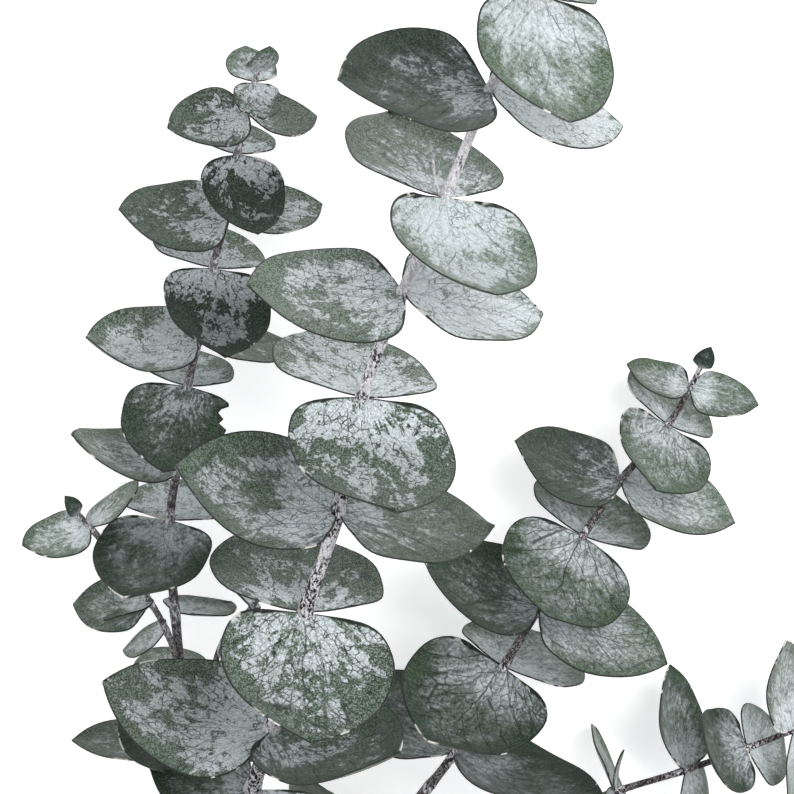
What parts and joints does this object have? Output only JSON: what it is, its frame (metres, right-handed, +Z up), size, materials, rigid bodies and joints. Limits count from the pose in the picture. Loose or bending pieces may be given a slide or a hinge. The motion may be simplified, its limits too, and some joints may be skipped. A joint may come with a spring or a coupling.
{
  "type": "eucalyptus branch",
  "caption": "Cut eucalyptus branch with forking leafy stems and opposite pairs of broad silver-green leaves, lying on a surface.",
  "frame": {"origin": "middle of the branch's bounding box, seen from above, on the surface that it lies on", "axes": "+Y from the cut end to the tips, +Z up from the surface, +X to the right when seen from above with the tips away"},
  "size_m": [0.2498, 0.4523, 0.1432],
  "materials": {
    "leaf": "waxy, soft satin, grey-green under a mottled white bloom",
    "bark": "thin bark, matt lilac-white bloom with dark brown spots and scratches"
  },
  "bodies": {
    "root": {"leader": "leaf", "left_spray": "leaf", "right_spray": "leaf", "low_right_spray": "leaf", "left_shoot": "leaf", "back_shoot": "leaf"}
  },
  "joints": []
}
